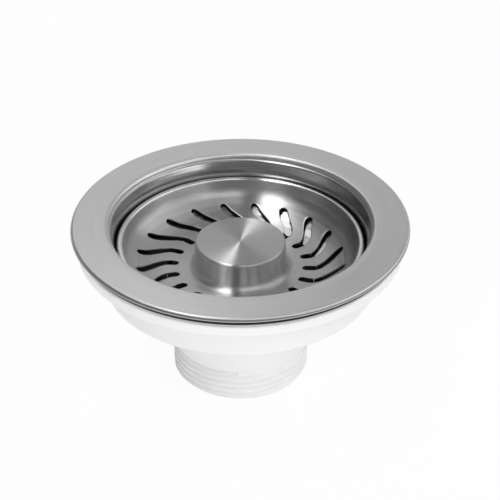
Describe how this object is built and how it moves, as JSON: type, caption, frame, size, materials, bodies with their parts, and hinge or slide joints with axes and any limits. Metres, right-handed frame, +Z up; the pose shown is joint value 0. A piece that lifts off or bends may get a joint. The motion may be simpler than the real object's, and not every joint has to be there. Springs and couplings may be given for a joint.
{
  "type": "sink waste",
  "caption": "Kitchen sink waste with a pressed steel flange and bowl, a swirl-slotted strainer plug that lifts and turns, two seals, and a white plastic body with a threaded outlet.",
  "frame": {"origin": "on the axis, at the end face of the outlet", "axes": "+Z up along the waste's axis, out of the sink; +X to the right and +Y to the back as the picture shows it"},
  "size_m": [0.114, 0.114, 0.0584],
  "materials": {
    "flange_steel": "satin, brushed in rings",
    "strainer_steel": "satin, brushed in rings",
    "bright_steel": "bright turned",
    "white_plastic": "semi-gloss moulded",
    "washer_plastic": "matt",
    "black_plastic": "matt moulded",
    "black_rubber": "matt",
    "grey_seal": "matt, light grey",
    "brass": "turned"
  },
  "bodies": {
    "waste": {"steel_flange": "flange_steel", "flange_seal": "black_rubber", "body_seal": "grey_seal", "waste_body": "white_plastic", "thread_insert": "brass", "centre_screw": "bright_steel", "screw_washer": "washer_plastic", "guide_bush": "black_plastic"},
    "catch": {"snap_ring": "bright_steel"},
    "plug": {"strainer_basket": "strainer_steel", "knob_core": "black_plastic", "seal_carrier": "black_plastic", "stopper_seal": "black_rubber", "seal_retainer": "bright_steel", "plug_stem": "bright_steel"}
  },
  "joints": [
    {"name": "plug_lift", "type": "slide", "parent": "waste", "child": "catch", "axis": [0, 0, 1], "range_m": [0, 0.045]},
    {"name": "plug_spin", "type": "hinge", "parent": "catch", "child": "plug", "pos_m": [0, 0, 0.0351], "axis": [0, 0, 1], "continuous": true}
  ]
}
